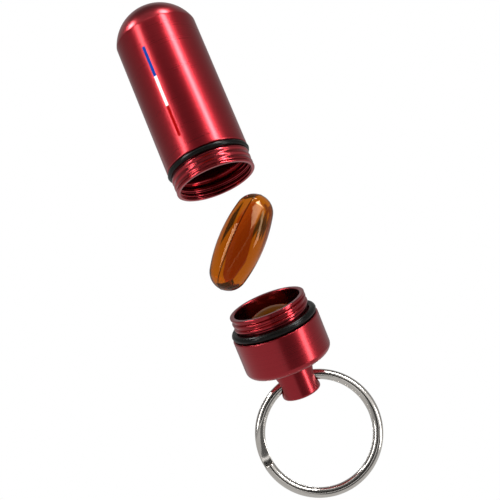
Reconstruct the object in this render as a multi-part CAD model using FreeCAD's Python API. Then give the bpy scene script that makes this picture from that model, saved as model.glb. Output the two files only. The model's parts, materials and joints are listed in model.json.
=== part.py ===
import FreeCAD, Part
import math
import os

# Pill fob keychain: a turned aluminium cap and base cup that screw together
# over a softgel, two rubber O-rings, and a split key ring through the base's nipple.
# The origin is the centre of the key ring when it hangs straight, from where it leans
# forward about its hole. +Z runs up the base's axis to its mouth,
# and the cap stands off above the mouth, tipped back, as a cap that is taken off.
# All sizes are in millimetres and all angles in degrees.

V = FreeCAD.Vector

# Split ring: a flattened round wire, two turns side by side
ring_outer_diameter = 25.0
ring_wire_width = 2.0
ring_wire_thickness = 1.0
ring_turn_gap = 0.45
ring_crossing_angle = 44.0
ring_crossing_place = 165.0
ring_end_gap_angle = 3.0
ring_lean_angle = 18.0

# Nipple under the base, with the cross hole for the ring
nipple_diameter = 7.8
nipple_end_wall = 0.9
nipple_above_hole = 2.1
nipple_end_chamfer = 0.4
nipple_root_fillet = 0.6
ring_hole_diameter = 3.6

# Base cup, from its bore outwards
base_bore_diameter = 13.5
base_neck_wall = 0.65
base_neck_height = 4.65
base_groove_depth = 0.2
base_seal_cord = 1.4
base_body_height = 8.15
base_floor_thickness = 3.5
base_overhang = 0.4
base_bottom_fillet = 1.5
base_floor_fillet = 1.2

# Cap, whose mouth goes over the base's neck
cap_neck_wall = 0.35
cap_shoulder_width = 0.3
cap_socket_step = 0.7
cap_socket_web = 0.3
cap_groove_wall = 0.35
cap_seal_cord = 1.05
cap_cylinder_length = 28.95
cap_dome_height = 6.2
cap_dome_edge_fillet = 1.0
cap_dome_wall = 1.4
edge_chamfer = 0.25

# Running fits
seal_clearance = 0.05
thread_clearance = 0.3
neck_end_clearance = 0.15
capsule_clearance = 0.1

# Softgels: the loose one that is dropped in and the one that lies in the cup
loose_capsule_length = 18.6
loose_capsule_diameter = 8.4
loose_capsule_end_radius = 3.5
loose_capsule_rim_gap = 0.6
stored_capsule_end_room = 0.75
stored_capsule_diameter = 8.4
stored_capsule_end_radius = 3.4

# How the cap is taken off: it tips back about a far pole, level with its closed lip
cap_tip_angle = 31.5
cap_pole_distance = 52.8

# How the loose capsule is lifted out: it turns about a pole in front of the mouth
capsule_lift_angle = 109.3
capsule_lift_axis = V(0.29, 0.40, 0.87)
capsule_pole_x = 5.4
capsule_pole_y = -8.2
capsule_pole_above_rim = 11.8

# Levels and radii that follow from the sizes above
ring_radius = (ring_outer_diameter - ring_wire_width) / 2
ring_turn_offset = (ring_wire_thickness + ring_turn_gap) / 2
wire_at_nipple_face = math.sqrt(ring_radius ** 2 - (nipple_diameter / 2) ** 2)
hole_z = (ring_radius + wire_at_nipple_face) / 2
nipple_end_z = hole_z - ring_hole_diameter / 2 - nipple_end_wall
body_bottom_z = hole_z + ring_hole_diameter / 2 + nipple_above_hole
shoulder_z = body_bottom_z + base_body_height
rim_z = shoulder_z + base_neck_height
floor_z = body_bottom_z + base_floor_thickness
base_groove_height = base_seal_cord + 2 * seal_clearance
closed_lip_z = shoulder_z + base_groove_height
base_bore = base_bore_diameter / 2
base_neck = base_bore + base_neck_wall
base_groove = base_neck - base_groove_depth
cap_socket = base_neck + thread_clearance
cap_socket_depth = rim_z - closed_lip_z + neck_end_clearance
cap_groove_height = cap_seal_cord + 2 * seal_clearance
cap_neck = cap_socket + cap_neck_wall
cap_neck_height = cap_socket_depth + cap_socket_web + cap_groove_height
cap_bore = cap_socket - cap_socket_step
cap_groove = cap_bore + cap_groove_wall
cap_shoulder_z = closed_lip_z + cap_neck_height
cap_radius = cap_neck + cap_shoulder_width
base_radius = cap_radius + base_overhang
stored_capsule_length = base_bore_diameter - 2 * stored_capsule_end_room
cap_pole = V(0, cap_pole_distance, closed_lip_z)
capsule_pole = V(capsule_pole_x, capsule_pole_y, rim_z + capsule_pole_above_rim)
across = V(1, 0, 0)
upward = V(0, 0, 1)
same_place = 1e-4


def turned(corners, dome_radius=None):
    """Solid turned about Z from the corners (radius, height) of its half section.

    With a dome radius, the last stretch, up to the axis, is an arc of that radius.
    """
    outline = [V(radius, 0, height) for radius, height in corners]
    sides = [Part.makeLine(one, other) for one, other in zip(outline, outline[1:])]
    if dome_radius:
        apex = outline[-1]
        spring = outline[-2]
        half_sweep = math.asin(spring.x / dome_radius) / 2
        crown = V(
            dome_radius * math.sin(half_sweep),
            0,
            apex.z - dome_radius * (1 - math.cos(half_sweep)))
        sides[-1] = Part.Arc(spring, crown, apex).toShape()
    sides.append(Part.makeLine(outline[-1], outline[0]))
    return Part.Face(Part.Wire(sides)).revolve(V(0, 0, 0), upward, 360)


def rim_edges(solid, radius, height):
    """Circular edges of a turned solid that have this radius and lie at this height."""
    found = []
    for edge in solid.Edges:
        if edge.Degenerated or not isinstance(edge.Curve, Part.Circle):
            continue
        circle = edge.Curve
        level = abs(circle.Center.z - height) < same_place
        if level and abs(circle.Radius - radius) < same_place:
            found.append(edge)
    return found


def make_base_cup():
    """Cup with its neck, seal groove, bore and the drilled nipple below."""
    nipple = nipple_diameter / 2
    cup = turned([
        (0, nipple_end_z),
        (nipple, nipple_end_z),
        (nipple, body_bottom_z),
        (base_radius, body_bottom_z),
        (base_radius, shoulder_z),
        (base_groove, shoulder_z),
        (base_groove, closed_lip_z),
        (base_neck, closed_lip_z),
        (base_neck, rim_z),
        (base_bore, rim_z),
        (base_bore, floor_z),
        (0, floor_z),
    ])
    cup = cup.makeFillet(base_bottom_fillet, rim_edges(cup, base_radius, body_bottom_z))
    cup = cup.makeFillet(nipple_root_fillet, rim_edges(cup, nipple, body_bottom_z))
    cup = cup.makeFillet(base_floor_fillet, rim_edges(cup, base_bore, floor_z))
    cup = cup.makeChamfer(nipple_end_chamfer, rim_edges(cup, nipple, nipple_end_z))
    sharp = rim_edges(cup, base_radius, shoulder_z) + rim_edges(cup, base_neck, rim_z)
    cup = cup.makeChamfer(edge_chamfer, sharp)
    drill = Part.makeCylinder(
        ring_hole_diameter / 2, 2 * nipple_diameter, V(-nipple_diameter, 0, hole_z), across)
    return cup.cut(drill)


def make_o_ring(groove_radius, cord, centre_z):
    """O-ring of round cord that lies in a groove with a small clearance."""
    to_cord_centre = groove_radius + seal_clearance + cord / 2
    return Part.makeTorus(to_cord_centre, cord / 2, V(0, 0, centre_z), upward)


def make_closed_cap():
    """Cap as it sits screwed home: neck with its socket and groove, tube and dome."""
    groove_z = cap_shoulder_z - cap_groove_height
    dome_z = cap_shoulder_z + cap_cylinder_length
    apex_z = dome_z + cap_dome_height
    dome_radius = (cap_radius ** 2 + cap_dome_height ** 2) / (2 * cap_dome_height)
    cavity_radius = dome_radius - cap_dome_wall
    cavity_apex_z = apex_z - cap_dome_wall
    cavity_dome_z = apex_z - dome_radius + math.sqrt(cavity_radius ** 2 - cap_bore ** 2)
    cap = turned([
        (0, closed_lip_z),
        (cap_neck, closed_lip_z),
        (cap_neck, groove_z),
        (cap_groove, groove_z),
        (cap_groove, cap_shoulder_z),
        (cap_radius, cap_shoulder_z),
        (cap_radius, dome_z),
        (0, apex_z),
    ], dome_radius)
    cap = cap.makeFillet(cap_dome_edge_fillet, rim_edges(cap, cap_radius, dome_z))
    sharp = rim_edges(cap, cap_radius, cap_shoulder_z) + rim_edges(cap, cap_neck, closed_lip_z)
    cap = cap.makeChamfer(edge_chamfer, sharp)
    socket_end_z = closed_lip_z + cap_socket_depth
    cavity = turned([
        (0, closed_lip_z),
        (cap_socket, closed_lip_z),
        (cap_socket, socket_end_z),
        (cap_bore, socket_end_z),
        (cap_bore, cavity_dome_z),
        (0, cavity_apex_z),
    ], cavity_radius)
    return cap.cut(cavity)


def take_off(solid):
    """Turn a closed cap's piece about the far pole to where the cap stands taken off."""
    solid.rotate(cap_pole, across, -cap_tip_angle)
    return solid


def make_capsule(length, diameter, end_radius):
    """Softgel upright about its centre: round ends that run into gently bowed sides."""
    half = length / 2
    belly = diameter / 2
    end_centre = half - end_radius
    side_radius = (belly ** 2 + end_centre ** 2 - end_radius ** 2) / (2 * (belly - end_radius))
    lean = math.atan2(end_centre, side_radius - belly)
    join_r = end_radius * math.cos(lean)
    join_z = end_centre + end_radius * math.sin(lean)
    crown = (lean + math.pi / 2) / 2
    crown_r = end_radius * math.cos(crown)
    crown_z = end_centre + end_radius * math.sin(crown)
    top = Part.Arc(V(0, 0, half), V(crown_r, 0, crown_z), V(join_r, 0, join_z))
    side = Part.Arc(V(join_r, 0, join_z), V(belly, 0, 0), V(join_r, 0, -join_z))
    bottom = Part.Arc(V(join_r, 0, -join_z), V(crown_r, 0, -crown_z), V(0, 0, -half))
    spine = Part.LineSegment(V(0, 0, -half), V(0, 0, half))
    face = Part.Face(Part.Wire([part.toShape() for part in (top, side, bottom, spine)]))
    return face.revolve(V(0, 0, 0), upward, 360)


def make_loose_capsule():
    """Softgel over the mouth, then lifted out and turned to where it is held ready."""
    capsule = make_capsule(
        loose_capsule_length, loose_capsule_diameter, loose_capsule_end_radius)
    capsule.translate(V(0, 0, rim_z + loose_capsule_rim_gap + loose_capsule_length / 2))
    capsule.rotate(capsule_pole, capsule_lift_axis, capsule_lift_angle)
    return capsule


def make_stored_capsule():
    """Smaller softgel that lies across the floor of the cup."""
    capsule = make_capsule(
        stored_capsule_length, stored_capsule_diameter, stored_capsule_end_radius)
    capsule.rotate(V(0, 0, 0), V(0, 1, 0), 90)
    capsule.translate(V(0, 0, floor_z + stored_capsule_diameter / 2 + capsule_clearance))
    return capsule


def ring_point(angle, offset):
    """Point on the ring's wire at an angle from +X in the XZ plane, at an offset along Y."""
    turn = math.radians(angle)
    return V(ring_radius * math.cos(turn), offset, ring_radius * math.sin(turn))


def ring_arc(start, end, offset):
    """Flat arc of one turn of the ring between two angles."""
    middle = (start + end) / 2
    return Part.Arc(
        ring_point(start, offset), ring_point(middle, offset), ring_point(end, offset)).toShape()


def arc_from(start, tangent, end):
    """Arc that leaves a point along a unit tangent and ends at another point."""
    chord = end - start
    along = chord.dot(tangent) / chord.Length
    lift = tangent - chord * (along / chord.Length)
    lift.normalize()
    sagitta = chord.Length / 2 * math.tan(math.acos(along) / 2)
    return Part.Arc(start, start + chord * 0.5 + lift * sagitta, end).toShape()


def make_ring_path():
    """Path of the ring's wire: a front turn, a crossing of two arcs and a back turn."""
    half = ring_crossing_angle / 2
    first = ring_crossing_place + half + ring_end_gap_angle
    leave = ring_crossing_place + 360 - half
    arrive = ring_crossing_place + 360 + half
    last = ring_crossing_place + 720 - half - ring_end_gap_angle
    front = -ring_turn_offset
    back = ring_turn_offset
    crossing_radius = math.hypot(ring_radius, ring_turn_offset)
    middle = ring_point(ring_crossing_place, 0) * (crossing_radius / ring_radius)
    leave_turn = math.radians(leave)
    arrive_turn = math.radians(arrive)
    leaving = V(-math.sin(leave_turn), 0, math.cos(leave_turn))
    arriving = V(math.sin(arrive_turn), 0, -math.cos(arrive_turn))
    half_turn = (first + leave) / 2
    other_half_turn = (arrive + last) / 2
    return Part.Wire([
        ring_arc(first, half_turn, front),
        ring_arc(half_turn, leave, front),
        arc_from(ring_point(leave, front), leaving, middle),
        arc_from(ring_point(arrive, back), arriving, middle),
        ring_arc(arrive, other_half_turn, back),
        ring_arc(other_half_turn, last, back),
    ])


def least_turn_gap(path):
    """Least gap between stretches of the wire that lie more than half a turn apart."""
    samples = 360
    points = path.discretize(samples)
    turn_samples = int(samples * math.pi * ring_radius / path.Length)
    nearest = min(
        points[i].distanceToPoint(points[j])
        for i in range(samples)
        for j in range(i + turn_samples, samples))
    return nearest - ring_wire_thickness


def make_split_ring():
    """Leaning ring of two turns in one wire, which crosses over where its two ends butt."""
    path = make_ring_path()
    start = path.OrderedVertexes[0].Point
    radial = V(start.x, 0, start.z).normalize()
    section = Part.Ellipse(
        start + radial * (ring_wire_width / 2),
        start + V(0, ring_wire_thickness / 2, 0),
        start)
    sweep = Part.BRepOffsetAPI.MakePipeShell(path)
    sweep.add(Part.Wire(section.toShape()))
    sweep.build()
    sweep.makeSolid()
    print("least gap between the ring's turns: %.2f mm" % least_turn_gap(path))
    ring = sweep.shape()
    ring.rotate(V(0, 0, hole_z), across, -ring_lean_angle)
    return ring


def main():
    """Make every piece in its place and write each to its own file."""
    cap_seal_z = cap_shoulder_z - seal_clearance - cap_seal_cord / 2
    base_seal_z = shoulder_z + seal_clearance + base_seal_cord / 2
    pieces = {
        "base_cup": make_base_cup(),
        "base_o_ring": make_o_ring(base_groove, base_seal_cord, base_seal_z),
        "stored_capsule": make_stored_capsule(),
        "split_ring": make_split_ring(),
        "cap_o_ring": take_off(make_o_ring(cap_groove, cap_seal_cord, cap_seal_z)),
        "cap_shell": take_off(make_closed_cap()),
        "loose_capsule": make_loose_capsule(),
    }
    os.makedirs("parts", exist_ok=True)
    for name, solid in pieces.items():
        solid.exportStep(os.path.join("parts", name + ".step"))
        print("%s: %.1f mm3" % (name, solid.Volume))


main()
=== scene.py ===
"""Dresses the pill fob keychain: turned red halves, rubber seals, key ring and softgels.

Sizes are in millimetres and become metres where a mesh is made. The two turned halves and
the softgels are modelled in their closed place, on the base's axis, and are then carried to
where they rest by the same joints that close the fob.
"""
from __future__ import annotations

import json
import logging
import math
from dataclasses import dataclass
from enum import Enum
from typing import ClassVar, Sequence

import bpy
from mathutils import Matrix, Vector

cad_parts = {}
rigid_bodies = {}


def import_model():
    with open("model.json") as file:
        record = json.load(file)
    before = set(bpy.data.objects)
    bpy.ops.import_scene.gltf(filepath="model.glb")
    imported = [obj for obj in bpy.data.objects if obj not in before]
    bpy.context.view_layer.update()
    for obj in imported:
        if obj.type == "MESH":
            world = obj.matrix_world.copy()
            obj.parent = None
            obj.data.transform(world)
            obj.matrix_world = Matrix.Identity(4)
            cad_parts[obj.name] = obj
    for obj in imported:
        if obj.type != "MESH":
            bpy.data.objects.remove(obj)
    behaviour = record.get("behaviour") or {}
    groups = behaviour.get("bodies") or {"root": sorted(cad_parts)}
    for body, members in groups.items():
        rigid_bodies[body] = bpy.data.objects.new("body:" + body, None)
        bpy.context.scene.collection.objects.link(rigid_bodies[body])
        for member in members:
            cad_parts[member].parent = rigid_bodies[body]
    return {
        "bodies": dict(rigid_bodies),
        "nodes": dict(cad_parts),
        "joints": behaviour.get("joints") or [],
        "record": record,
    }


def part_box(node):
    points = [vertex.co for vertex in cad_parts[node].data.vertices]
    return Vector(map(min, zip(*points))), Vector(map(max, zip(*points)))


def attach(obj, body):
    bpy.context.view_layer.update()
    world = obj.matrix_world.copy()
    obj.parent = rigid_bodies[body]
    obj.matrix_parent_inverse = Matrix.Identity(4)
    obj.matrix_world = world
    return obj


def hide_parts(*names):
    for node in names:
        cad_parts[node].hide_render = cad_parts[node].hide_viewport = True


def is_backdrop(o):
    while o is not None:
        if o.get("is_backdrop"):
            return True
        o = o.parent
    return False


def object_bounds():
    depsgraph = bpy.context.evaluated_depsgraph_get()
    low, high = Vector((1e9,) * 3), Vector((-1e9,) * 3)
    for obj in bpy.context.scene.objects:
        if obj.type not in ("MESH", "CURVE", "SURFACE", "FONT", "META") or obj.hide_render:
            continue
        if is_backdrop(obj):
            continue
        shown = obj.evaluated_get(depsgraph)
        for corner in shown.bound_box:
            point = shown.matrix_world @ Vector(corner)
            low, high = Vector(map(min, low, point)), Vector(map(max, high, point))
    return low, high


LOG = logging.getLogger("pill_fob")
MM = 0.001
# Small distances in millimetres: points taken as one, points on a thread's wall, edges too thin
# to keep, rows of points on a thread's wall and beside a crisp edge, and a groove's last step.
SAME_PLACE = 0.002
ON_WALL = 0.01
THIN_EDGE = 0.0005
THREAD_ROWS = 0.05
EDGE_ROW = 0.1
GROOVE_STEP = 0.02
# Angle in radians between points of one section, and height in millimetres of one UV tile.
SAME_TURN = 1e-4
UV_HEIGHT = 20.0
Outline = list[tuple[float, float]]
Colour = tuple[float, float, float]
Piece = bpy.types.Object
Material = bpy.types.Material
Socket = bpy.types.NodeSocket


class Slot(Enum):
    """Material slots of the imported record."""

    ALUMINIUM = "red_aluminium"
    RUBBER = "black_rubber"
    STEEL = "polished_steel"
    GEL = "amber_gel"


class LampLink(Enum):
    """Ways in which a lamp can be linked to a piece."""

    ALONE = "INCLUDE"
    LEFT_OUT = "EXCLUDE"


def smooth_step(share: float) -> float:
    """Ease a share from 0 to 1 with flat ends."""
    clamped = min(max(share, 0.0), 1.0)
    return clamped * clamped * (3.0 - 2.0 * clamped)


def arc(centre: tuple[float, float], radius: float, start: float, end: float, count: int) -> Outline:
    """Points of an arc in the half section of a turned piece.

    Args:
        centre: Radius and height of the arc's centre, in millimetres.
        radius: Radius of the arc, in millimetres.
        start: First angle, in degrees from the outward direction.
        end: Last angle, in degrees.
        count: Number of points.

    Returns:
        The points from the first angle to the last.
    """
    points = []
    for step in range(count):
        turn = math.radians(start + (end - start) * step / (count - 1))
        points.append((centre[0] + radius * math.cos(turn), centre[1] + radius * math.sin(turn)))
    return points


def rows(radius: float, start: float, end: float, spacing: float) -> Outline:
    """Evenly spaced points up or down a straight wall of a turned piece."""
    count = max(2, int(abs(end - start) / spacing) + 1)
    return [(radius, start + (end - start) * step / (count - 1)) for step in range(count)]


def take_new(name: str) -> Piece:
    """Name the object that an operator has just added.

    Args:
        name: Name of the object and of its data.

    Returns:
        The object.
    """
    piece = bpy.context.object
    piece.name = name
    piece.data.name = name
    return piece


def clear_selection() -> None:
    """Deselect every object, because an operator acts on all that is selected."""
    bpy.ops.object.select_all(action="DESELECT")


def activate(piece: Piece) -> None:
    """Make one object the only selected and active one.

    Args:
        piece: The object.
    """
    clear_selection()
    piece.select_set(True)
    bpy.context.view_layer.objects.active = piece


def start_edit(select: str) -> None:
    """Enter edit mode with all of the active mesh selected, or none of it."""
    bpy.ops.object.mode_set(mode="EDIT")
    bpy.ops.mesh.select_all(action=select)


def start_picking(kind: str) -> None:
    """Deselect all of the active mesh, whose points or faces are then picked in code.

    Args:
        kind: VERT for points or FACE for faces.
    """
    start_edit("DESELECT")
    bpy.ops.mesh.select_mode(type=kind)
    bpy.ops.object.mode_set(mode="OBJECT")


def turn_on_lathe(name: str, outline: Outline, steps: int) -> Piece:
    """Turn a closed piece about Z by spinning an outline that starts and ends on the axis.

    Args:
        name: Name of the new object.
        outline: Radius and height of each point, in millimetres.
        steps: Number of facets round the piece.

    Returns:
        The new object, at the origin, with its place in its mesh.
    """
    clear_selection()
    bpy.ops.mesh.primitive_plane_add(size=MM)
    piece = take_new(name)
    start_edit("SELECT")
    bpy.ops.mesh.merge(type="CENTER")
    points = [Vector((radius, 0.0, height)) * MM for radius, height in outline]
    bpy.ops.transform.translate(value=points[0])
    for one, other in zip(points, points[1:]):
        bpy.ops.mesh.extrude_vertices_move(TRANSFORM_OT_translate={"value": other - one})
    bpy.ops.mesh.select_all(action="SELECT")
    bpy.ops.mesh.spin(steps=steps, angle=math.tau, center=(0, 0, 0), axis=(0, 0, 1))
    close_mesh()
    return piece


def close_mesh() -> None:
    """Merge doubled points of the mesh in edit mode, turn its faces outwards and leave it."""
    bpy.ops.mesh.select_all(action="SELECT")
    bpy.ops.mesh.remove_doubles(threshold=SAME_PLACE * MM)
    bpy.ops.mesh.dissolve_degenerate(threshold=THIN_EDGE * MM)
    bpy.ops.mesh.select_all(action="SELECT")
    bpy.ops.mesh.normals_make_consistent(inside=False)
    bpy.ops.object.mode_set(mode="OBJECT")


def shade(piece: Piece, angle: float = 32.0) -> None:
    """Shade a piece smooth, with edges sharper than an angle in degrees kept crisp."""
    activate(piece)
    bpy.ops.object.shade_smooth_by_angle(angle=math.radians(angle))


def wrap_round(piece: Piece, to_axis: Matrix) -> None:
    """Give a turned piece a UV map that runs round it, for the direction of its brushing.

    Args:
        piece: The turned piece, in its resting place.
        to_axis: Turns a point of the piece into the frame whose Z is the turning axis.
    """
    mesh = piece.data
    layer = mesh.uv_layers.new(name="round")
    local = [to_axis @ vertex.co for vertex in mesh.vertices]
    for face in mesh.polygons:
        middle = sum((local[index] for index in face.vertices), Vector()) / len(face.vertices)
        base_turn = math.atan2(middle.y, middle.x)
        for loop in face.loop_indices:
            place = local[mesh.loops[loop].vertex_index]
            turn = math.atan2(place.y, place.x) - base_turn
            turn = (turn + math.pi) % math.tau - math.pi
            layer.data[loop].uv = ((base_turn + turn) / math.tau, place.z / (UV_HEIGHT * MM))


@dataclass(frozen=True)
class Thread:
    """Helical ridges on a wall of a turned piece, in millimetres.

    Attributes:
        root: Radius of the wall between the ridges.
        crest: Radius of the ridges' tops, smaller than the root on an inside thread.
        start: Height where the ridges begin.
        end: Height where they end.
        pitch: Height from one ridge to the next.
        run_out: Height over which a ridge fades at either end.
        phase: Share of a pitch by which the ridges are shifted upwards.
        valley_share: Share of the rise that stays at the root.
        flank_share: Share of the rise over which a flank climbs.
    """

    root: float
    crest: float
    start: float
    end: float
    pitch: float
    run_out: float
    phase: float = 0.0
    valley_share: float = 0.16
    flank_share: float = 0.62

    def ridge(self, turn: float, height: float) -> float:
        """Share of the full ridge at an angle in radians and a height.

        Args:
            turn: Angle round the axis, in radians.
            height: Height, in millimetres.

        Returns:
            The share, 0 in a valley and 1 on a crest.
        """
        place = (height / self.pitch - turn / math.tau - self.phase) % 1.0
        rise = 1.0 - abs(2.0 * place - 1.0)
        return smooth_step((rise - self.valley_share) / self.flank_share)

    def fade(self, height: float) -> float:
        """Share of the ridge that is left near the thread's ends.

        Args:
            height: Height, in millimetres.

        Returns:
            The share, 0 past an end and 1 away from both.
        """
        below = smooth_step((height - self.start) / self.run_out)
        above = smooth_step((self.end - height) / self.run_out)
        return min(below, above)

    def cut(self, piece: Piece, full_ridge_at_crest: bool = True) -> None:
        """Move the wall's points of a piece on the Z axis out or in to form the ridges.

        Args:
            piece: Turned piece whose wall has closely spaced rows at the root radius.
            full_ridge_at_crest: False for the hollow partner, whose crests lie in the valleys.
        """
        for vertex in piece.data.vertices:
            radius = math.hypot(vertex.co.x, vertex.co.y) / MM
            height = vertex.co.z / MM
            if abs(radius - self.root) > ON_WALL or not self.start <= height <= self.end:
                continue
            turn = math.atan2(vertex.co.y, vertex.co.x)
            ridge = self.ridge(turn, height)
            share = ridge if full_ridge_at_crest else 1.0 - ridge
            grown = self.root + (self.crest - self.root) * share * self.fade(height)
            vertex.co.x *= grown / radius
            vertex.co.y *= grown / radius


class NodeSheet:
    """Short way to write a material's nodes."""

    def __init__(self, name: str) -> None:
        """Start a material with one Principled shader.

        Args:
            name: Name of the material.
        """
        self.material = bpy.data.materials.new(name)
        self.material.use_nodes = True
        self.tree = self.material.node_tree
        self.shader = self.tree.nodes["Principled BSDF"]
        self.output = self.tree.nodes["Material Output"]

    def set(self, **sockets: object) -> None:
        """Set sockets of the shader, named with underscores for spaces."""
        for name, value in sockets.items():
            self.shader.inputs[name.replace("_", " ")].default_value = value

    def add(self, kind: str, **values: object) -> bpy.types.Node:
        """Add a node and set its properties.

        Args:
            kind: Blender's name of the node's kind.
            values: Its properties.

        Returns:
            The node.
        """
        node = self.tree.nodes.new(kind)
        for name, value in values.items():
            setattr(node, name, value)
        return node

    def link(self, source: Socket, target: Socket) -> None:
        """Link two sockets."""
        self.tree.links.new(source, target)

    def place(self, scale: Sequence[float] = (1.0, 1.0, 1.0),
              to_axis: Matrix = Matrix.Identity(4)) -> Socket:
        """Object coordinates turned to a piece's own axis and stretched.

        Args:
            scale: Stretch along the three axes of the piece's own frame.
            to_axis: Turns a point of the piece into that frame.

        Returns:
            The socket with the coordinates.
        """
        coordinates = self.add("ShaderNodeTexCoord")
        turned = self.add("ShaderNodeMapping")
        turned.inputs["Location"].default_value = to_axis.to_translation()
        turned.inputs["Rotation"].default_value = to_axis.to_euler()
        stretched = self.add("ShaderNodeMapping")
        stretched.inputs["Scale"].default_value = scale
        self.link(coordinates.outputs["Object"], turned.inputs["Vector"])
        self.link(turned.outputs["Vector"], stretched.inputs["Vector"])
        return stretched.outputs["Vector"]

    def noise(self, vector: Socket, scale: float, detail: float) -> Socket:
        """Noise on given coordinates.

        Args:
            vector: The coordinates.
            scale: Scale of the noise.
            detail: Its detail.

        Returns:
            The socket with the noise.
        """
        node = self.add("ShaderNodeTexNoise")
        node.inputs["Scale"].default_value = scale
        node.inputs["Detail"].default_value = detail
        self.link(vector, node.inputs["Vector"])
        return node.outputs["Fac"]

    def ramp(self, source: Socket, low: float, high: float,
             from_low: float = 0.3, from_high: float = 0.7) -> Socket:
        """Map a noise value to a range of numbers.

        Args:
            source: The value.
            low: Number at the low end.
            high: Number at the high end.
            from_low: Value of the low end.
            from_high: Value of the high end.

        Returns:
            The socket with the number.
        """
        node = self.add("ShaderNodeMapRange")
        for name, value in (("From Min", from_low), ("From Max", from_high),
                            ("To Min", low), ("To Max", high)):
            node.inputs[name].default_value = value
        self.link(source, node.inputs["Value"])
        return node.outputs["Result"]

    def mix(self, share: Socket, one: Colour, other: Colour) -> Socket:
        """Mix two colours by a value.

        Args:
            share: The value, 0 for the first colour and 1 for the other.
            one: First colour.
            other: Other colour.

        Returns:
            The socket with the colour.
        """
        node = self.add("ShaderNodeMix", data_type="RGBA")
        node.inputs["A"].default_value = (*one, 1.0)
        node.inputs["B"].default_value = (*other, 1.0)
        self.link(share, node.inputs["Factor"])
        return node.outputs["Result"]

    def speckle(self, grain: tuple[float, float], tones: tuple[Colour, Colour],
                roughness: tuple[float, float]) -> Socket:
        """Vary a finish's colour and roughness with one fine noise.

        Args:
            grain: Scale and detail of the noise.
            tones: The two colours.
            roughness: The two roughnesses.

        Returns:
            The noise.
        """
        noise = self.noise(self.place(), *grain)
        self.link(self.mix(self.ramp(noise, 0.0, 1.0), *tones), self.shader.inputs["Base Color"])
        self.link(self.ramp(noise, *roughness), self.shader.inputs["Roughness"])
        return noise

    def bump(self, height: Socket, strength: float, distance: float) -> None:
        """Raise the surface by a value, over a distance in metres.

        Args:
            height: The value.
            strength: Strength of the effect.
            distance: Height of the full value, in metres.
        """
        node = self.add("ShaderNodeBump")
        node.inputs["Strength"].default_value = strength
        node.inputs["Distance"].default_value = distance
        self.link(height, node.inputs["Height"])
        self.link(node.outputs["Normal"], self.shader.inputs["Normal"])


@dataclass(frozen=True)
class BrushedAnodise:
    """Red anodised aluminium with fine turning marks round the axis."""

    deep: Colour = (0.40, 0.013, 0.023)
    bright: Colour = (0.44, 0.017, 0.028)
    roughness: float = 0.28
    roughness_swing: float = 0.006
    cut_share: float = 0.55
    unevenness: float = 0.006
    marks: tuple[float, float, float] = (30.0, 30.0, 5200.0)
    patches: tuple[float, float, float] = (90.0, 90.0, 420.0)

    def make(self, name: str, to_axis: Matrix, neck: tuple[float, float]) -> Material:
        """Make the finish for a piece turned about its own axis.

        Args:
            name: Name of the material.
            to_axis: Turns a point of the piece into the frame whose Z is the turning axis.
            neck: Heights between which the smoother cut of the threaded neck sets in.

        Returns:
            The material.
        """
        sheet = NodeSheet(name)
        sheet.set(Metallic=1.0, Anisotropic=0.3, Coat_Weight=0.6, Coat_Roughness=0.2)
        fine = sheet.noise(sheet.place(self.marks, to_axis), 1.0, 4.0)
        broad = sheet.noise(sheet.place(self.patches, to_axis), 1.0, 2.0)
        sheet.link(sheet.mix(sheet.ramp(fine, 0.0, 1.0), self.deep, self.bright),
                   sheet.shader.inputs["Base Color"])
        rough = sheet.ramp(fine, self.roughness - self.roughness_swing,
                           self.roughness + self.roughness_swing)
        uneven = sheet.ramp(broad, -self.unevenness, self.unevenness)
        total = sheet.add("ShaderNodeMath", operation="ADD")
        sheet.link(rough, total.inputs[0])
        sheet.link(uneven, total.inputs[1])
        height = sheet.add("ShaderNodeSeparateXYZ")
        sheet.link(sheet.place(to_axis=to_axis), height.inputs["Vector"])
        cut = sheet.ramp(height.outputs["Z"], 1.0, self.cut_share, neck[0] * MM, neck[1] * MM)
        smoothed = sheet.add("ShaderNodeMath", operation="MULTIPLY")
        sheet.link(total.outputs["Value"], smoothed.inputs[0])
        sheet.link(cut, smoothed.inputs[1])
        sheet.link(smoothed.outputs["Value"], sheet.shader.inputs["Roughness"])
        tangent = sheet.add("ShaderNodeTangent", direction_type="UV_MAP", uv_map="round")
        sheet.link(tangent.outputs["Tangent"], sheet.shader.inputs["Tangent"])
        sheet.bump(fine, 0.008, 0.006 * MM)
        return sheet.material


@dataclass(frozen=True)
class SealRubber:
    """Black moulded rubber with a satin skin."""

    dark: Colour = (0.002, 0.002, 0.002)
    dusty: Colour = (0.005, 0.005, 0.004)
    grain: tuple[float, float] = (2600.0, 3.0)
    roughness: tuple[float, float] = (0.20, 0.30)

    def make(self, name: str) -> Material:
        """Make the finish.

        Args:
            name: Name of the material.

        Returns:
            The material.
        """
        sheet = NodeSheet(name)
        sheet.set(Specular_IOR_Level=0.2)
        grain = sheet.speckle(self.grain, (self.dark, self.dusty), self.roughness)
        sheet.bump(grain, 0.04, 0.02 * MM)
        return sheet.material


@dataclass(frozen=True)
class PolishedSteel:
    """Bright nickel-plated spring steel with faint drawing marks."""

    bright: Colour = (0.80, 0.76, 0.71)
    dull: Colour = (0.74, 0.70, 0.65)
    grain: tuple[float, float] = (900.0, 4.0)
    roughness: tuple[float, float] = (0.12, 0.15)

    def make(self, name: str) -> Material:
        """Make the finish.

        Args:
            name: Name of the material.

        Returns:
            The material.
        """
        sheet = NodeSheet(name)
        sheet.set(Metallic=1.0)
        spots = sheet.speckle(self.grain, (self.bright, self.dull), self.roughness)
        sheet.bump(spots, 0.002, 0.01 * MM)
        return sheet.material


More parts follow.
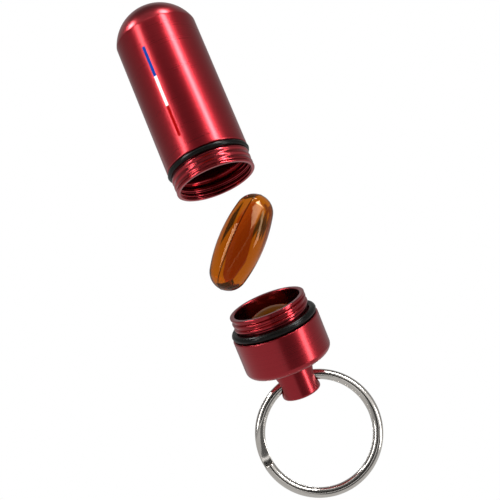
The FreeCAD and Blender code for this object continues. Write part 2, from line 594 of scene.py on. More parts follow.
@dataclass(frozen=True)
class AmberGel:
    """Clear amber gelatine shell filled with oil."""

    tint: Colour = (0.70, 0.27, 0.02)
    absorbed: Colour = (0.87, 0.76, 0.01)
    density: float = 800.0
    clearness: float = 0.98
    bending: float = 1.44
    seam_tint: Colour = (0.02, 0.006, 0.001)
    seam_half_width: float = 0.15
    seam_core_share: float = 0.4
    grain: tuple[float, float] = (260.0, 2.0)
    roughness: tuple[float, float] = (0.06, 0.10)
    shine: Colour = (1.0, 0.60, 0.34)

    def make(self, name: str, to_seam: Matrix) -> Material:
        """Make the finish.

        Args:
            name: Name of the material.
            to_seam: Turns a point of the softgel into the frame whose XZ plane holds the seam.

        Returns:
            The material.
        """
        sheet = NodeSheet(name)
        sheet.set(Transmission_Weight=self.clearness, IOR=self.bending, Specular_IOR_Level=0.25,
                  Specular_Tint=(*self.shine, 1.0))
        aside = sheet.add("ShaderNodeSeparateXYZ")
        sheet.link(sheet.place(to_axis=to_seam), aside.inputs["Vector"])
        distance = sheet.add("ShaderNodeMath", operation="ABSOLUTE")
        sheet.link(aside.outputs["Y"], distance.inputs[0])
        half = self.seam_half_width * MM
        on_seam = sheet.ramp(distance.outputs["Value"], 1.0, 0.0,
                             half * self.seam_core_share, half)
        sheet.link(sheet.mix(on_seam, self.tint, self.seam_tint), sheet.shader.inputs["Base Color"])
        skin = sheet.noise(sheet.place(), *self.grain)
        sheet.link(sheet.ramp(skin, *self.roughness), sheet.shader.inputs["Roughness"])
        sheet.bump(skin, 0.015, 0.08 * MM)
        oil = sheet.add("ShaderNodeVolumeAbsorption")
        oil.inputs["Color"].default_value = (*self.absorbed, 1.0)
        oil.inputs["Density"].default_value = self.density
        sheet.link(oil.outputs["Volume"], sheet.output.inputs["Volume"])
        return sheet.material


@dataclass(frozen=True)
class StripeInk:
    """Matt screen-printed ink."""

    colour: Colour
    worn: Colour
    grain: tuple[float, float] = (4000.0, 3.0)
    roughness: tuple[float, float] = (0.5, 0.62)

    def make(self, name: str) -> Material:
        """Make the finish.

        Args:
            name: Name of the material.

        Returns:
            The material.
        """
        sheet = NodeSheet(name)
        sheet.set(Specular_IOR_Level=0.02)
        sheet.speckle(self.grain, (self.colour, self.worn), self.roughness)
        return sheet.material


class Frame:
    """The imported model, with the places that the dressed pieces take from it."""

    def __init__(self) -> None:
        """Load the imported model."""
        self.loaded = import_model()
        self.cad_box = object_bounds()
        self.joints = {joint["name"]: joint for joint in self.loaded["joints"]}

    def carried(self, joint_name: str) -> Matrix:
        """Matrix that takes a piece from a joint's far limit back to its rest.

        Args:
            joint_name: Name of the joint.

        Returns:
            The matrix.
        """
        joint = self.joints[joint_name]
        pole = Vector(joint["pos_m"])
        turn = Matrix.Rotation(-math.radians(joint["range_deg"][1]), 4, Vector(joint["axis"]))
        return Matrix.Translation(pole) @ turn @ Matrix.Translation(-pole)

    @staticmethod
    def low(node: str) -> Vector:
        """Lowest corner of a CAD node, in millimetres."""
        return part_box(node)[0] / MM

    @staticmethod
    def high(node: str) -> Vector:
        """Highest corner of a CAD node, in millimetres."""
        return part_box(node)[1] / MM


def settle(piece: Piece, body: str, finish: Material,
           stands_for: str | None = None) -> Piece:
    """Dress a finished piece, tie it to its body and report it.

    Args:
        piece: The finished piece, in its resting place.
        body: CAD body that it moves with.
        finish: Its material.
        stands_for: CAD node that it replaces, if any.

    Returns:
        The piece.
    """
    piece.data.materials.clear()
    piece.data.materials.append(finish)
    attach(piece, body)
    if stands_for:
        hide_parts(stands_for)
    LOG.info("%s: %d faces on %s", piece.name, len(piece.data.polygons), body)
    return piece


@dataclass
class BaseCup:
    """Cup with a threaded neck, a seal groove and a drilled nipple, in millimetres."""

    frame: Frame
    nipple_radius: float = 3.9
    nipple_chamfer: float = 0.4
    nipple_root_fillet: float = 0.6
    nipple_height: float = 6.6
    hole_radius: float = 1.8
    hole_height: float = 2.7
    hole_flare: float = 0.3
    body_height: float = 8.15
    bottom_fillet: float = 1.5
    edge_round: float = 0.25
    groove_radius: float = 7.2
    groove_height: float = 1.5
    neck_root: float = 7.25
    neck_crest: float = 7.66
    bore_radius: float = 6.75
    floor_thickness: float = 3.5
    floor_fillet: float = 1.2
    thread_pitch: float = 1.1
    lip_band: float = 0.42
    band_round: float = 0.08
    lip_round: float = 0.16
    mouth_round: float = 0.15
    run_out: float = 0.15
    thread_lead: float = 0.32
    facets: int = 180

    def __post_init__(self) -> None:
        """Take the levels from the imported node."""
        low, high = self.frame.low("base_cup"), self.frame.high("base_cup")
        self.nipple_end = low.z
        self.body_radius = high.x
        self.rim = high.z
        self.body_bottom = self.nipple_end + self.nipple_height
        self.shoulder = self.body_bottom + self.body_height
        self.floor = self.body_bottom + self.floor_thickness
        self.thread_foot = self.shoulder + self.groove_height

    @property
    def thread(self) -> Thread:
        """Outside thread of the neck."""
        return Thread(self.neck_root, self.neck_crest, self.thread_foot + self.thread_lead,
                      self.rim - self.lip_band - self.band_round, self.thread_pitch, self.run_out)

    def outline(self) -> Outline:
        """Half section, from under the nipple round the outside and into the cup.

        Returns:
            Radius and height of each point, in millimetres.
        """
        nipple, body, soft = self.nipple_radius, self.body_radius, self.edge_round
        fillet, corner = self.nipple_root_fillet, self.bottom_fillet
        chamfer = self.nipple_chamfer
        points: Outline = [(0.0, self.nipple_end), (nipple * 0.5, self.nipple_end)]
        points += arc((nipple - chamfer, self.nipple_end + chamfer), chamfer, -90, 0, 6)
        points += rows(nipple, self.nipple_end + chamfer + 0.2, self.body_bottom - fillet, 0.4)
        points += arc((nipple + fillet, self.body_bottom - fillet), fillet, 180, 90, 7)[1:]
        points += [(body - corner - 0.3, self.body_bottom)]
        points += arc((body - corner, self.body_bottom + corner), corner, -90, 0, 12)
        points += [(body, self.shoulder - soft - EDGE_ROW)]
        points += arc((body - soft, self.shoulder - soft), soft, 0, 90, 6)
        points += [(self.groove_radius + EDGE_ROW, self.shoulder), (self.groove_radius, self.shoulder)]
        points += [(self.groove_radius, self.thread_foot - GROOVE_STEP)]
        band = self.rim - self.lip_band
        small, lip, mouth = self.band_round, self.lip_round, self.mouth_round
        points += rows(self.neck_root, self.thread_foot, band - small, THREAD_ROWS)
        points += arc((self.neck_crest - small, band + small), small, -90, 0, 4)
        points += arc((self.neck_crest - lip, self.rim - lip), lip, 0, 90, 6)
        points += arc((self.bore_radius + mouth, self.rim - mouth), mouth, 90, 180, 5)
        points += rows(self.bore_radius, self.rim - 0.6, self.floor + self.floor_fillet + EDGE_ROW, 1.2)
        inner = self.bore_radius - self.floor_fillet
        points += arc((inner, self.floor + self.floor_fillet), self.floor_fillet, 0, -90, 8)
        points += [(inner * 0.5, self.floor), (0.0, self.floor)]
        return points

    def drill(self, piece: Piece) -> None:
        """Drill the nipple's cross hole, with its mouths slightly opened.

        Args:
            piece: The cup.
        """
        half = self.nipple_radius
        wide = self.hole_radius + self.hole_flare
        cutter = turn_on_lathe("ring_hole_cutter", [
            (0.0, -2.0 * half), (wide, -2.0 * half), (wide, -half),
            (self.hole_radius, -half + 1.2), (self.hole_radius, half - 1.2),
            (wide, half), (wide, 2.0 * half), (0.0, 2.0 * half)], 64)
        lie_across = Matrix.Rotation(math.radians(90), 4, "Y")
        lift = Matrix.Translation(Vector((0, 0, self.nipple_end + self.hole_height)) * MM)
        cutter.data.transform(lift @ lie_across)
        activate(piece)
        cut = piece.modifiers.new("ring_hole", "BOOLEAN")
        cut.operation = "DIFFERENCE"
        cut.solver = "EXACT"
        cut.object = cutter
        bpy.ops.object.modifier_apply(modifier=cut.name)
        bpy.data.objects.remove(cutter)

    def build(self) -> Piece:
        """Turn, thread, drill and dress the cup.

        Returns:
            The piece, dressed.
        """
        piece = turn_on_lathe("turned_base", self.outline(), self.facets)
        self.thread.cut(piece)
        self.drill(piece)
        shade(piece, 62.0)
        upright = Matrix.Identity(4)
        wrap_round(piece, upright)
        finish = BrushedAnodise().make("brushed_red_base", upright,
                                       (self.thread_foot - EDGE_ROW, self.thread_foot))
        return settle(piece, "base", finish, "base_cup")


@dataclass
class Cap:
    """Domed cap with a threaded neck and socket, in millimetres."""

    frame: Frame
    base: BaseCup
    neck_height: float = 4.75
    neck_root: float = 7.78
    neck_crest: float = 8.06
    groove_radius: float = 7.35
    groove_height: float = 1.15
    socket_radius: float = 7.72
    socket_crest: float = 7.36
    socket_depth: float = 3.3
    socket_land: float = 0.28
    land_step: float = 0.04
    socket_run_out: float = 0.1
    lip_band: float = 0.42
    band_round: float = 0.08
    lip_round: float = 0.18
    mouth_round: float = 0.12
    run_out: float = 0.15
    bore_radius: float = 7.0
    cylinder_length: float = 28.95
    dome_height: float = 6.2
    dome_wall: float = 1.4
    dome_fillet: float = 1.0
    edge_round: float = 0.25
    outer_pitch: float = 1.18
    outer_phase: float = 0.3
    facets: int = 180
    stripe_start: float = 4.95
    stripe_length: float = 20.2
    stripe_width: float = 0.62
    stripe_turn: float = -22.7
    ink_height: float = 0.02

    def __post_init__(self) -> None:
        """Take the closed place from the base and the resting place from the joint."""
        self.radius = self.frame.high("cap_shell").x
        self.lip = self.base.thread_foot
        self.shoulder = self.lip + self.neck_height
        self.dome_foot = self.shoulder + self.cylinder_length
        self.apex = self.dome_foot + self.dome_height
        self.to_rest = self.frame.carried("cap_close")
        self.to_axis = self.to_rest.inverted()

    @property
    def outer_thread(self) -> Thread:
        """Outside thread of the neck."""
        foot = self.shoulder - self.groove_height
        return Thread(self.neck_root, self.neck_crest, self.lip + self.lip_band + self.band_round,
                      foot - THREAD_ROWS, self.outer_pitch, self.run_out, self.outer_phase)

    @property
    def inner_thread(self) -> Thread:
        """Inside thread of the socket, in step with the base's when the cap is closed."""
        start = self.lip + self.socket_land + self.land_step
        return Thread(self.socket_radius, self.socket_crest, start,
                      self.base.rim - self.base.lip_band - THREAD_ROWS, self.base.thread_pitch,
                      self.socket_run_out)

    def outline(self) -> Outline:
        """Half section, from the dome's top down the outside and up the inside.

        Returns:
            Radius and height of each point, in millimetres.
        """
        radius, soft = self.radius, self.edge_round
        sphere = (radius ** 2 + self.dome_height ** 2) / (2 * self.dome_height)
        centre = self.apex - sphere
        fillet = self.dome_fillet
        join_height = math.sqrt((sphere - fillet) ** 2 - (radius - fillet) ** 2)
        join_angle = math.degrees(math.atan2(join_height, radius - fillet))
        groove_foot = self.shoulder - self.groove_height
        points = [(0.0, self.apex)] + arc((0.0, centre), sphere, 89.0, join_angle, 26)
        points += arc((radius - fillet, centre + join_height), fillet, join_angle, 0, 6)[1:]
        points += rows(radius, centre + join_height - 0.4, self.shoulder + soft + EDGE_ROW, 2.5)
        points += arc((radius - soft, self.shoulder + soft), soft, 0, -90, 6)
        points += [(self.groove_radius + EDGE_ROW, self.shoulder), (self.groove_radius, self.shoulder)]
        points += [(self.groove_radius, groove_foot + GROOVE_STEP)]
        band = self.lip + self.lip_band
        small, lip, mouth = self.band_round, self.lip_round, self.mouth_round
        points += rows(self.neck_root, groove_foot, band + small, THREAD_ROWS)
        points += arc((self.neck_crest - small, band - small), small, 90, 0, 4)
        points += arc((self.neck_crest - lip, self.lip + lip), lip, 0, -90, 6)
        points += arc((self.socket_crest + mouth, self.lip + mouth), mouth, -90, -180, 5)
        land = self.lip + self.socket_land
        points += [(self.socket_crest, land)]
        socket_end = self.lip + self.socket_depth
        points += rows(self.socket_radius, land + self.land_step, socket_end, THREAD_ROWS)
        points += [(self.bore_radius + EDGE_ROW, socket_end)]
        points += [(self.bore_radius, socket_end + EDGE_ROW)]
        cavity = sphere - self.dome_wall
        spring = math.degrees(math.acos(self.bore_radius / cavity))
        spring_height = centre + cavity * math.sin(math.radians(spring))
        points += rows(self.bore_radius, socket_end + 0.6, spring_height - 0.3, 2.5)
        points += arc((0.0, centre), cavity, spring, 89.0, 18)
        points += [(0.0, centre + cavity)]
        return points

    def build(self) -> Piece:
        """Turn, thread and dress the cap, and carry it to where it stands taken off.

        Returns:
            The piece, dressed.
        """
        piece = turn_on_lathe("turned_cap", self.outline(), self.facets)
        self.outer_thread.cut(piece)
        self.inner_thread.cut(piece, full_ridge_at_crest=False)
        piece.data.transform(self.to_rest)
        shade(piece, 62.0)
        wrap_round(piece, self.to_axis)
        neck_end = self.shoulder - self.groove_height
        finish = BrushedAnodise().make("brushed_red_cap", self.to_axis,
                                       (neck_end + EDGE_ROW, neck_end))
        return settle(piece, "cap", finish, "cap_shell")

    def print_stripe(self) -> list[Piece]:
        """Print the three lengths of the thin stripe along the tube.

        Returns:
            The lengths, from the top.
        """
        inks = {
            "stripe_blue": StripeInk((0.001, 0.044, 0.29), (0.002, 0.052, 0.32)),
            "stripe_white": StripeInk((0.92, 0.92, 0.92), (0.88, 0.88, 0.88)),
            "stripe_red": StripeInk((0.38, 0.003, 0.003), (0.34, 0.002, 0.003)),
        }
        length = self.stripe_length / len(inks)
        lengths = []
        for order, (name, ink) in enumerate(inks.items()):
            top = self.dome_foot - self.stripe_start - order * length
            lengths.append(self.print_length(name, top, length, ink))
        return lengths

    def print_length(self, name: str, top: float, length: float, ink: StripeInk) -> Piece:
        """Print one length of the stripe as a thin curved film.

        Args:
            name: Name of the piece.
            top: Height of its upper end on the closed cap.
            length: Its length along the cap.
            ink: Its finish.

        Returns:
            The piece.
        """
        clear_selection()
        bpy.ops.mesh.primitive_grid_add(x_subdivisions=8, y_subdivisions=16, size=1.0)
        piece = take_new(name)
        skin = self.radius + self.ink_height / 2
        for vertex in piece.data.vertices:
            turn = vertex.co.x * self.stripe_width / skin + math.radians(self.stripe_turn)
            height = top - length * (0.5 - vertex.co.y)
            vertex.co = Vector((skin * math.sin(turn), -skin * math.cos(turn), height)) * MM
        film = piece.modifiers.new("ink_film", "SOLIDIFY")
        film.thickness = self.ink_height * MM
        film.offset = 1.0
        activate(piece)
        bpy.ops.object.modifier_apply(modifier=film.name)
        piece.data.transform(self.to_rest)
        shade(piece)
        return settle(piece, "cap", ink.make("ink_" + name))


@dataclass
class Seal:
    """O-ring of round cord with a fine parting line, in millimetres."""

    name: str
    node: str
    body: str
    groove_radius: float
    cord: float
    height: float
    to_rest: Matrix
    clearance: float = 0.05
    parting_height: float = 0.025
    around: int = 160
    section: int = 28

    def build(self) -> Piece:
        """Mould, dress and place the O-ring.

        Returns:
            The piece, dressed.
        """
        middle = self.groove_radius + self.clearance + self.cord / 2
        clear_selection()
        bpy.ops.mesh.primitive_torus_add(
            major_segments=self.around, minor_segments=self.section,
            major_radius=middle * MM, minor_radius=self.cord / 2 * MM)
        piece = take_new(self.name)
        outermost = (middle + self.cord / 2) * MM
        for vertex in piece.data.vertices:
            radius = math.hypot(vertex.co.x, vertex.co.y)
            if outermost - radius < SAME_PLACE * MM:
                grown = (radius + self.parting_height * MM) / radius
                vertex.co.x *= grown
                vertex.co.y *= grown
        lift = Matrix.Translation(Vector((0, 0, self.height)) * MM)
        piece.data.transform(self.to_rest @ lift)
        shade(piece, 60.0)
        return settle(piece, self.body, SealRubber().make("rubber_" + self.name),
                      self.node)


@dataclass
class KeyRing:
    """Split ring of two turns in one flattened wire, in millimetres."""

    frame: Frame
    outer_radius: float = 12.5
    wire_width: float = 2.0
    wire_thickness: float = 1.0
    turn_gap: float = 0.45
    crossing_place: float = 165.0
    crossing_angle: float = 44.0
    end_gap_angle: float = 3.0
    lean_angle: float = 18.0
    end_round: float = 0.22
    end_steps: tuple[tuple[float, float], ...] = ((0.45, 0.9), (0.35, 0.8), (0.2, 0.6))
    section: int = 48
    back_edge: float = 0.42
    back_squareness: int = 8
    stations: int = 336

    def __post_init__(self) -> None:
        """Work out the wire's middle line."""
        self.radius = self.outer_radius - self.wire_width / 2
        self.offset = (self.wire_thickness + self.turn_gap) / 2
        self.hole = Vector(self.frame.joints["ring_swing"]["pos_m"])
        rounding = math.degrees(self.end_round / self.radius)
        self.end_turn = self.crossing_angle / 2 + self.end_gap_angle + rounding

    def drift(self, turn: float) -> float:
        """Offset along Y of the front half of the wire, by its angle before the crossing.

        Args:
            turn: Angle before the crossing's middle, in degrees.

        Returns:
            The offset, in millimetres.
        """
        half = self.crossing_angle / 2
        share = (half - turn) / self.crossing_angle
        return -self.offset * math.cos(math.pi * min(max(share, 0.0), 0.5))

    def half_round(self, across: float, deep: float) -> float:
        """Depth on a half-round wire, round in front and flat behind, for a point of an oval one.

        Args:
            across: Place across the wire, from -1 to 1.
            deep: Depth of the point on the oval wire, in millimetres.

        Returns:
            The point's depth, in millimetres.
        """
        half = self.wire_thickness / 2
        inner = min(abs(across), 1.0)
        if deep > 0.0:
            return half - (half - self.back_edge) * inner ** self.back_squareness
        return self.back_edge - (self.back_edge + half) * math.sqrt(1.0 - inner * inner)

    def front_half(self) -> Piece:
        """Wind the front turn, from its free end to the middle of the crossing.

        Returns:
            The turn, open at both ends.
        """
        clear_selection()
        bpy.ops.mesh.primitive_circle_add(vertices=self.section, radius=0.5 * MM)
        piece = take_new("key_ring")
        sweep = 360.0 - self.end_turn
        start = math.radians(self.crossing_place - sweep)
        piece.data.transform(Matrix.Diagonal((self.wire_width, self.wire_thickness, 1.0, 1.0)))
        to_start = Matrix.Rotation(-start, 4, "Y") @ Matrix.Translation((self.radius * MM, 0, 0))
        piece.data.transform(to_start)
        start_edit("SELECT")
        bpy.ops.mesh.spin(steps=self.stations, angle=math.radians(sweep),
                          center=(0, 0, 0), axis=(0, 1, 0))
        bpy.ops.object.mode_set(mode="OBJECT")
        past_crossing = 5.0
        place = math.radians(self.crossing_place + past_crossing)
        for vertex in piece.data.vertices:
            turn = math.atan2(vertex.co.z, vertex.co.x)
            before = math.degrees((place - turn) % math.tau) - past_crossing
            across = (math.hypot(vertex.co.x, vertex.co.z) / MM - self.radius) / (self.wire_width / 2)
            drift = self.drift(before)
            flat = self.half_round(across, vertex.co.y / MM)
            share = -drift / self.offset
            vertex.co.y = (vertex.co.y / MM * (1.0 - share) + flat * share + drift) * MM
        return piece

    def round_end(self, piece: Piece) -> None:
        """Close the wire's free end with a slightly rounded face.

        Args:
            piece: The turn.
        """
        activate(piece)
        end = math.radians(self.crossing_place + self.end_turn)
        outward = Vector((math.sin(end), 0.0, -math.cos(end)))
        start_picking("VERT")
        for vertex in piece.data.vertices:
            turn = math.atan2(vertex.co.z, vertex.co.x)
            apart = (turn - end + math.pi) % math.tau - math.pi
            vertex.select = abs(apart) < SAME_TURN
        bpy.ops.object.mode_set(mode="EDIT")
        bpy.ops.mesh.edge_face_add()
        middle = Vector((math.cos(end), 0.0, math.sin(end))) * (self.radius * MM)
        middle.y = -self.offset * MM
        for lift, shrink in self.end_steps:
            step = outward * (lift * self.end_round * MM)
            bpy.ops.mesh.extrude_region_move(TRANSFORM_OT_translate={"value": step})
            bpy.ops.transform.resize(value=(shrink, shrink, shrink), center_override=middle)
            middle += step
        bpy.ops.object.mode_set(mode="OBJECT")

    def build(self) -> Piece:
        """Wind both turns, join them at the crossing and dress the ring.

        Returns:
            The piece, dressed.
        """
        piece = self.front_half()
        self.round_end(piece)
        other = piece.copy()
        other.data = piece.data.copy()
        bpy.context.collection.objects.link(other)
        place = math.radians(self.crossing_place)
        through_crossing = Vector((math.cos(place), 0.0, math.sin(place)))
        other.data.transform(Matrix.Rotation(math.pi, 4, through_crossing))
        activate(piece)
        other.select_set(True)
        bpy.ops.object.join()
        bpy.ops.object.mode_set(mode="EDIT")
        close_mesh()
        lean = Matrix.Rotation(-math.radians(self.lean_angle), 4, "X")
        piece.data.transform(Matrix.Translation(self.hole) @ lean @ Matrix.Translation(-self.hole))
        shade(piece, 50.0)
        return settle(piece, "ring", PolishedSteel().make("polished_steel_ring"),
                      "split_ring")


@dataclass
class Softgel:
    """Softgel with round ends, bowed sides and a fine seam along it, in millimetres."""

    name: str
    node: str
    body: str
    length: float
    diameter: float
    end_radius: float
    to_rest: Matrix
    finish: AmberGel = AmberGel()
    seam_height: float = 0.05
    seam_width: float = 0.16
    seam_turn: float = 138.0
    seam_end_share: float = 0.3
    facets: int = 192

    def outline(self) -> Outline:
        """Half section of the softgel about its centre, from top to bottom.

        Returns:
            Radius and height of each point, in millimetres.
        """
        half, belly, end = self.length / 2, self.diameter / 2, self.end_radius
        centre = half - end
        side = (belly ** 2 + centre ** 2 - end ** 2) / (2 * (belly - end))
        lean = math.degrees(math.atan2(centre, side - belly))
        upper = [(0.0, half)] + arc((0.0, centre), end, 88.5, lean, 22)
        flank = arc((belly - side, 0.0), side, lean, -lean, 33)[1:-1]
        lower = [(radius, -height) for radius, height in reversed(upper)]
        return upper + flank + lower

    def build(self) -> Piece:
        """Form, seam and dress the softgel.

        Returns:
            The piece, dressed.
        """
        piece = turn_on_lathe(self.name, self.outline(), self.facets)
        for vertex in piece.data.vertices:
            aside = vertex.co.y / MM / self.seam_width
            out = Vector((vertex.co.x, 0.0, vertex.co.z * self.seam_end_share))
            if out.length > 0:
                vertex.co += out.normalized() * (self.seam_height * MM * math.exp(-aside * aside))
        turned = self.to_rest @ Matrix.Rotation(math.radians(self.seam_turn), 4, "Z")
        piece.data.transform(turned)
        shade(piece, 60.0)
        finish = self.finish.make("gel_" + self.name, turned.inverted())
        return settle(piece, self.body, finish, self.node)


@dataclass
class Studio:
    """White studio: camera, strip lights, a dark tent and floor, in millimetres and degrees."""

    azimuth: float = -1.0
    elevation: float = 14.0
    roll: float = 22.0
    distance: float = 300.0
    lens: float = 111.8
    target: tuple[float, float, float] = (1.0, 3.0, 38.25)
    middle: tuple[float, float, float] = (0.0, 8.0, 40.0)
    strip_distance: float = 330.0
    tent_radius: float = 480.0
    floor_height: float = -520.0
    floor_size: float = 4000.0
    world_level: float = 0.75
    # Name, turn, rise, width, length and level of each lamp.
    STRIPS: ClassVar[tuple] = (
        ("left_upper_strip", -63, 34, 40, 300, 9),
        ("right_upper_strip", 60, 40, 36, 240, 22),
        ("right_lower_strip", 54, -14, 60, 200, 6.5),
        ("left_top_lamp", -122, 54, 100, 60, 16),
        ("right_top_lamp", 120, 60, 100, 60, 16),
        ("gel_window", 42, 32, 250, 260, 9),
        ("gel_spot", 66, 46, 90, 70, 45))
    # Name, first and last turn, lowest and highest rise and level of each wall of the tent.
    WALLS: ClassVar[tuple] = (
        ("camera_wall", (-20, 20), (6, 36), 0.02),
        ("left_wall", (-80, -20), (0, 36), 0.30),
        ("left_side_wall", (-150, -80), (0, 36), 0.25),
        ("right_wall", (20, 80), (0, 36), 0.70),
        ("right_side_wall", (80, 150), (0, 36), 0.25),
        ("upper_wall", (-180, 180), (36, 66), 0.10),
        ("top_front_wall", (-75, 75), (66, 90), 0.80),
        ("top_left_wall", (-180, -75), (66, 90), 0.35),
        ("top_right_wall", (75, 180), (66, 90), 0.35),
        ("lower_left_wall", (-150, -10), (-32, 0), 0.48),
        ("lower_middle_wall", (-10, 42), (-32, 0), 0.11),
        ("lower_right_wall", (42, 150), (-32, 0), 0.33),
        ("under_wall", (-180, 180), (-90, -32), 0.52),
        ("back_left_wall", (-180, -150), (-32, 36), 0.30),
        ("back_right_wall", (150, 180), (-32, 36), 0.30))

    def aim_camera(self) -> None:
        """Set the camera at the photograph's viewing angle."""
        aside = math.radians(self.azimuth)
        lift = math.radians(self.elevation)
        tip = math.radians(self.roll)
        level_right = Vector((math.cos(aside), math.sin(aside), 0.0))
        level_back = Vector((math.sin(aside), -math.cos(aside), 0.0))
        back = level_back * math.cos(lift) + Vector((0.0, 0.0, math.sin(lift)))
        level_up = back.cross(level_right)
        right = level_right * math.cos(tip) - level_up * math.sin(tip)
        up = level_right * math.sin(tip) + level_up * math.cos(tip)
        bpy.ops.object.camera_add()
        camera = take_new("portrait_camera")
        place = (Vector(self.target) + back * self.distance) * MM
        turned = Matrix((right, up, back)).transposed().to_4x4()
        camera.matrix_world = Matrix.Translation(place) @ turned
        camera.data.lens = self.lens
        camera.data.sensor_width = 36.0
        camera.data.clip_start = 0.01
        camera.data.dof.use_dof = False
        bpy.context.scene.camera = camera

    def strip_light(self, name: str, turn: float, rise: float, width: float, length: float,
                    level: float) -> None:
        """Hang a long soft strip light that faces the object.

        Args:
            name: Name of the lamp.
            turn: Angle from the front, in degrees to the right.
            rise: Angle above the object's middle, in degrees.
            width: Width of the strip, in millimetres.
            length: Length of the strip, in millimetres.
            level: Brightness of its face.
        """
        yaw, pitch = math.radians(turn), math.radians(rise)
        level_away = Vector((math.sin(yaw), -math.cos(yaw), 0.0))
        away = level_away * math.cos(pitch) + Vector((0.0, 0.0, math.sin(pitch)))
        along = Vector((0.0, 0.0, math.cos(pitch))) - level_away * math.sin(pitch)
        across = along.cross(away)
        place = (Vector(self.middle) + away * self.strip_distance) * MM
        turned = Matrix((across, along, away)).transposed().to_4x4()
        bpy.ops.object.light_add(type="AREA")
        lamp = take_new(name)
        lamp.matrix_world = Matrix.Translation(place) @ turned
        lamp.data.shape = "RECTANGLE"
        lamp.data.size = width * MM
        lamp.data.size_y = length * MM
        lamp.data.energy = level * math.pi * lamp.data.size * lamp.data.size_y

    @staticmethod
    def link_lamp(lamp_name: str, piece: Piece, link: LampLink) -> None:
        """Let a lamp light one piece alone, or all but that piece.

        Args:
            lamp_name: Name of the lamp.
            piece: The piece.
            link: Whether the lamp lights the piece alone or leaves it out.
        """
        group = bpy.data.collections.new(lamp_name + "_link")
        group.objects.link(piece)
        group.collection_objects[0].light_linking.link_state = link.value
        lamp = bpy.data.objects[lamp_name]
        lamp.light_linking.receiver_collection = group
        if link is LampLink.ALONE:
            lamp.visible_transmission = False

    def tent_wall(self, name: str, turns: tuple[float, float], rises: tuple[float, float],
                  level: float, tone: Colour | None = None) -> None:
        """Stand a grey wall of the tent that only reflections see, or what shows through gel.

        Args:
            name: Name of the wall.
            turns: First and last angle from the front, in degrees to the right.
            rises: Lowest and highest angle above the object's middle, in degrees.
            level: Brightness of the wall.
            tone: Colour of a card that is seen through the softgels alone, else None.
        """
        clear_selection()
        bpy.ops.mesh.primitive_uv_sphere_add(segments=72, ring_count=36, radius=self.tent_radius * MM)
        wall = take_new(name)
        start_picking("FACE")
        for face in wall.data.polygons:
            turn = math.degrees(math.atan2(face.center.x, -face.center.y))
            rise = math.degrees(math.asin(face.center.normalized().z))
            inside = turns[0] <= turn <= turns[1] and rises[0] <= rise <= rises[1]
            face.select = not inside
        bpy.ops.object.mode_set(mode="EDIT")
        bpy.ops.mesh.delete(type="FACE")
        bpy.ops.object.mode_set(mode="OBJECT")
        wall.data.transform(Matrix.Translation(Vector(self.middle) * MM))
        sheet = NodeSheet(name + "_grey")
        sheet.set(Base_Color=(0.0, 0.0, 0.0, 1.0), Specular_IOR_Level=0.0,
                  Emission_Color=(*(tone or (1.0, 1.0, 1.0)), 1.0), Emission_Strength=level)
        wall.data.materials.append(sheet.material)
        wall.visible_camera = False
        wall.visible_diffuse = False
        wall.visible_glossy = tone is None
        wall.visible_transmission = tone is not None
        wall.visible_shadow = False
        wall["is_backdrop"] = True

    @staticmethod
    def seen_white(tree: bpy.types.NodeTree) -> Socket:
        """Value that is 1 for the camera, reflections and what shows through, and else 0.

        Args:
            tree: Nodes of a material or world.

        Returns:
            The socket with the value.
        """
        path = tree.nodes.new("ShaderNodeLightPath")
        total = path.outputs["Is Camera Ray"]
        for name in ("Is Glossy Ray", "Is Transmission Ray"):
            either = tree.nodes.new("ShaderNodeMath")
            either.operation = "MAXIMUM"
            tree.links.new(total, either.inputs[0])
            tree.links.new(path.outputs[name], either.inputs[1])
            total = either.outputs["Value"]
        return total

    def fill_world(self) -> None:
        """Light all round at a plain level, with a white background."""
        world = bpy.data.worlds.new("white_studio")
        world.use_nodes = True
        tree = world.node_tree
        background = tree.nodes["Background"]
        background.inputs["Color"].default_value = (1.0, 1.0, 1.0, 1.0)
        level = tree.nodes.new("ShaderNodeMapRange")
        level.inputs["To Min"].default_value = self.world_level
        level.inputs["To Max"].default_value = 1.0
        tree.links.new(self.seen_white(tree), level.inputs["Value"])
        tree.links.new(level.outputs["Result"], background.inputs["Strength"])
        bpy.context.scene.world = world

    def lay_floor(self) -> None:
        """Lay a plain pale floor well below the object."""
        clear_selection()
        bpy.ops.mesh.primitive_plane_add(size=self.floor_size * MM,
                                         location=(0, 0, self.floor_height * MM))
        floor = take_new("studio_floor")
        sheet = NodeSheet("pale_floor")
        sheet.set(Base_Color=(0.9, 0.9, 0.9, 1.0), Roughness=0.9, Specular_IOR_Level=0.0)
        glow = sheet.add("ShaderNodeEmission")
        either = sheet.add("ShaderNodeMixShader")
        sheet.link(self.seen_white(sheet.tree), either.inputs["Fac"])
        sheet.link(sheet.shader.outputs["BSDF"], either.inputs[1])
        sheet.link(glow.outputs["Emission"], either.inputs[2])
        sheet.link(either.outputs["Shader"], sheet.output.inputs["Surface"])
        floor.data.materials.append(sheet.material)
        floor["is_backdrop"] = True

    def build(self, softgel: Piece) -> None:
        """Set up the whole studio.

        Args:
            softgel: The held softgel, which has a window light of its own.
        """
        bpy.context.scene.view_settings.view_transform = "Standard"
        self.aim_camera()
        self.fill_world()
        self.lay_floor()
        for strip in self.STRIPS:
            self.strip_light(*strip)
        for name in ("gel_window", "gel_spot"):
            self.link_lamp(name, softgel, LampLink.ALONE)
        self.link_lamp("left_top_lamp", softgel, LampLink.LEFT_OUT)
        for wall in self.WALLS:
            self.tent_wall(*wall)
        self.hang_gel_cards()

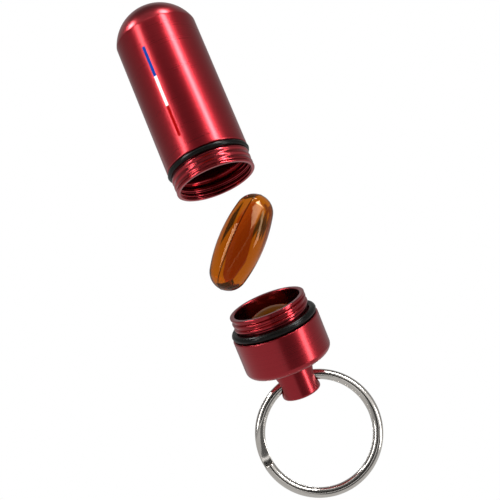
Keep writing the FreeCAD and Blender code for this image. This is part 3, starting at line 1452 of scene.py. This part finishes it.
    def hang_gel_cards(self) -> None:
        """Hang an amber card and dark flags round the back that show through the softgels alone."""
        pale, deep = Vector((0.85, 0.38, 0.02)), Vector((0.52, 0.13, 0.02))
        dark, dim = (0.05, 0.04, 0.04), (0.36, 0.16, 0.03)
        bands, band_height, lowest = 5, 5.0, -35.0
        for band in range(bands):
            rise = lowest + band_height * band
            top = 5.0 if band == bands - 1 else rise + band_height
            tone = tuple(pale.lerp(deep, smooth_step(band / (bands - 1))))
            self.tent_wall(f"left_amber_card_{band}", (-180.0, -170.0), (rise, top), 1.0, tone)
            self.tent_wall(f"right_amber_card_{band}", (165.0, 180.0), (rise, top), 1.0, tone)
        for step in range(4):
            turn, rise = -170.0 + 5.0 * step, -10.0 + 5.0 * step
            self.tent_wall(f"slanted_flag_{step}", (turn, turn + 10.0), (rise, rise + 5.0), 1.0, dark)
        self.tent_wall("low_flag", (140.0, 160.0), (-50.0, -35.0), 1.0, dark)
        self.tent_wall("high_flag", (130.0, 180.0), (5.0, 35.0), 1.0, dark)
        self.tent_wall("dim_flag", (-145.0, -110.0), (-10.0, 30.0), 1.0, dim)
        self.tent_wall("low_dim_flag", (-155.0, -145.0), (-20.0, 0.0), 1.0, dim)


def build_softgels(frame: Frame) -> list[Piece]:
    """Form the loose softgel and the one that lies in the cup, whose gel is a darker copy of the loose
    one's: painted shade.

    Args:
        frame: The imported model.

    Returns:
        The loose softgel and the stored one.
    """
    rim = frame.high("base_cup").z
    length, diameter, rim_gap = 18.6, 8.4, 0.6
    over_mouth = Matrix.Translation(Vector((0, 0, rim + rim_gap + length / 2)) * MM)
    loose = Softgel("held_softgel", "loose_capsule", "capsule", length, diameter, 3.5,
                    frame.carried("capsule_drop") @ over_mouth)
    low, high = frame.low("stored_capsule"), frame.high("stored_capsule")
    lying = Matrix.Translation((low + high) / 2 * MM) @ Matrix.Rotation(math.radians(90), 4, "Y")
    # The stored softgel's gel is a far darker, less clear copy of the loose one's amber: painted shade
    # for its place down in the cup.
    stored = Softgel("stored_softgel", "stored_capsule", "base",
                     high.x - low.x, high.z - low.z, 3.4, lying,
                     AmberGel(tint=(0.085, 0.026, 0.002), clearness=0.3))
    return [loose.build(), stored.build()]


def build_seals(base: BaseCup, cap: Cap) -> list[Piece]:
    """Mould the two O-rings in their grooves.

    Args:
        base: The base, for its groove.
        cap: The cap, for its groove.

    Returns:
        The base's seal and the cap's.
    """
    base_cord, cap_cord = 1.4, 1.05
    lower = Seal("base_seal", "base_o_ring", "base", base.groove_radius, base_cord,
                 base.shoulder + Seal.clearance + base_cord / 2, Matrix.Identity(4))
    upper = Seal("cap_seal_ring", "cap_o_ring", "cap_seal", cap.groove_radius, cap_cord,
                 cap.shoulder - Seal.clearance - cap_cord / 2, cap.to_rest)
    return [lower.build(), upper.build()]


def main() -> None:
    """Build every piece of the fob and its studio."""
    logging.basicConfig(level=logging.INFO, format="%(name)s: %(message)s")
    frame = Frame()
    base = BaseCup(frame)
    cap = Cap(frame, base)
    base.build()
    cap.build()
    cap.print_stripe()
    build_seals(base, cap)
    KeyRing(frame).build()
    held_softgel, _ = build_softgels(frame)
    Studio().build(held_softgel)


if __name__ == "__main__":
    main()
